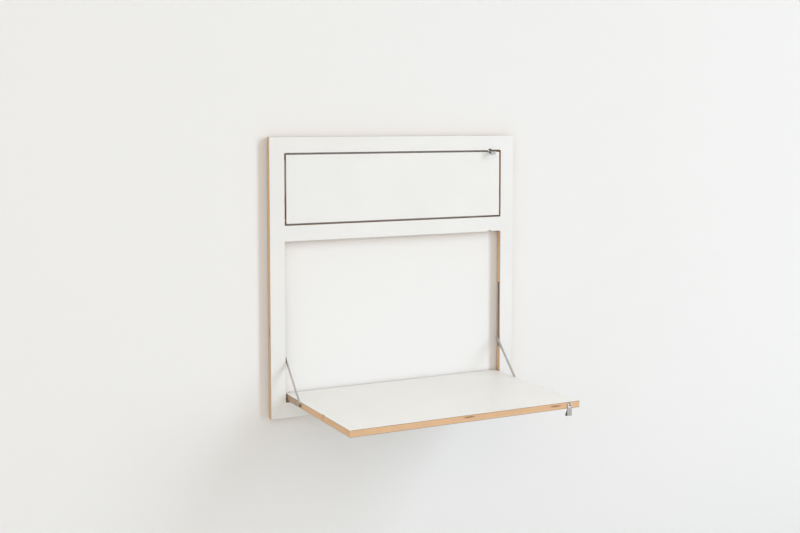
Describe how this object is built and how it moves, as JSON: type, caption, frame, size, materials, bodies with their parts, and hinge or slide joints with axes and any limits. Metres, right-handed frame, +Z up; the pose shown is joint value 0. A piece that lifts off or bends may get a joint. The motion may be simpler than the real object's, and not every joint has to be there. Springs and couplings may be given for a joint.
{
  "type": "fold down wall desk",
  "caption": "Wall-hung plywood frame with a desk panel and a smaller shelf flap that fold down on hinge pins, held level by flat sliding stays and locked shut by lever latches.",
  "frame": {"origin": "on the wall, at the middle of the line between the two keyhole hangers, where the top pad meets the wall", "axes": "+X to the right as seen from the room, +Y into the wall, +Z up"},
  "size_m": [0.8, 0.4625, 0.8],
  "materials": {
    "birch_ply": "bare birch plywood, clear oiled edges with visible plies",
    "white_laminate": "white satin laminate",
    "guide_plastic": "dark brown moulded plastic",
    "slider_nylon": "dark satin nylon",
    "steel": "satin brushed stainless steel",
    "zinc_plate": "bright zinc plated steel",
    "pad_rubber": "matt dark rubber"
  },
  "bodies": {
    "frame": {"frame_core": "birch_ply", "frame_front_laminate": "white_laminate", "frame_back_laminate": "white_laminate", "desk_guide_left": "guide_plastic", "desk_guide_right": "guide_plastic", "flap_guide_left": "guide_plastic", "flap_guide_right": "guide_plastic", "guide_stops": "guide_plastic", "desk_hinge_bushes": "slider_nylon", "flap_hinge_bushes": "slider_nylon", "wall_hanger_left": "zinc_plate", "wall_hanger_right": "zinc_plate", "wall_pads": "pad_rubber"},
    "desk": {"desk_core": "birch_ply", "desk_top_laminate": "white_laminate", "desk_under_laminate": "white_laminate", "desk_hinge_pins": "steel", "desk_stay_screws": "steel", "desk_latch_screw": "steel"},
    "flap": {"flap_core": "birch_ply", "flap_front_laminate": "white_laminate", "flap_back_laminate": "white_laminate", "flap_hinge_pins": "steel", "flap_stay_screws": "steel", "flap_latch_screw": "steel"},
    "desk_latch": {"desk_latch_lever": "steel"},
    "flap_latch": {"flap_latch_lever": "steel"},
    "desk_stay_left": {"desk_stay_left": "steel", "desk_stay_rivet_left": "steel"},
    "desk_slider_left": {"desk_slider_left": "slider_nylon"},
    "desk_stay_right": {"desk_stay_right": "steel", "desk_stay_rivet_right": "steel"},
    "desk_slider_right": {"desk_slider_right": "slider_nylon"},
    "flap_stay_left": {"flap_stay_left": "steel", "flap_stay_rivet_left": "steel"},
    "flap_slider_left": {"flap_slider_left": "slider_nylon"},
    "flap_stay_right": {"flap_stay_right": "steel", "flap_stay_rivet_right": "steel"},
    "flap_slider_right": {"flap_slider_right": "slider_nylon"}
  },
  "joints": [
    {"name": "desk_fold", "type": "hinge", "parent": "frame", "child": "desk", "pos_m": [0, -0.013, -0.7185], "axis": [-1, 0, 0], "range_deg": [0, 90]},
    {"name": "flap_fold", "type": "hinge", "parent": "frame", "child": "flap", "pos_m": [0, -0.013, -0.2135], "axis": [1, 0, 0], "range_deg": [0, 90]},
    {"name": "desk_latch_turn", "type": "hinge", "parent": "desk", "child": "desk_latch", "pos_m": [0.3164, -0.454, -0.7185], "axis": [0, -1, 0], "range_deg": [-25, 25]},
    {"name": "flap_latch_turn", "type": "hinge", "parent": "flap", "child": "flap_latch", "pos_m": [0.3164, -0.013, -0.0275], "axis": [0, 0, 1], "range_deg": [-25, 25]},
    {"name": "desk_stay_left_turn", "type": "hinge", "parent": "desk", "child": "desk_stay_left", "pos_m": [-0.3517, -0.124, -0.7185], "axis": [1, 0, 0], "range_deg": [0, 135]},
    {"name": "desk_slider_left_slide", "type": "slide", "parent": "frame", "child": "desk_slider_left", "axis": [0, 0, 1], "range_m": [0, 0.157]},
    {"name": "desk_stay_right_turn", "type": "hinge", "parent": "desk", "child": "desk_stay_right", "pos_m": [0.3517, -0.124, -0.7185], "axis": [1, 0, 0], "range_deg": [0, 135]},
    {"name": "desk_slider_right_slide", "type": "slide", "parent": "frame", "child": "desk_slider_right", "axis": [0, 0, 1], "range_m": [0, 0.157]},
    {"name": "flap_stay_left_turn", "type": "hinge", "parent": "flap", "child": "flap_stay_left", "pos_m": [-0.3517, -0.013, -0.1435], "axis": [-1, 0, 0], "range_deg": [0, 135]},
    {"name": "flap_slider_left_slide", "type": "slide", "parent": "frame", "child": "flap_slider_left", "axis": [0, 0, -1], "range_m": [0, 0.099]},
    {"name": "flap_stay_right_turn", "type": "hinge", "parent": "flap", "child": "flap_stay_right", "pos_m": [0.3517, -0.013, -0.1435], "axis": [-1, 0, 0], "range_deg": [0, 135]},
    {"name": "flap_slider_right_slide", "type": "slide", "parent": "frame", "child": "flap_slider_right", "axis": [0, 0, -1], "range_m": [0, 0.099]}
  ],
  "couplings": [
    {"joint": "desk_stay_left_turn", "follows": "desk_fold", "ratio": 1.5},
    {"joint": "desk_slider_left_slide", "follows": "desk_fold", "m_per_rad": 0.099935},
    {"joint": "desk_stay_right_turn", "follows": "desk_fold", "ratio": 1.5},
    {"joint": "desk_slider_right_slide", "follows": "desk_fold", "m_per_rad": 0.099935},
    {"joint": "flap_stay_left_turn", "follows": "flap_fold", "ratio": 1.5},
    {"joint": "flap_slider_left_slide", "follows": "flap_fold", "m_per_rad": 0.063024},
    {"joint": "flap_stay_right_turn", "follows": "flap_fold", "ratio": 1.5},
    {"joint": "flap_slider_right_slide", "follows": "flap_fold", "m_per_rad": 0.063024}
  ]
}
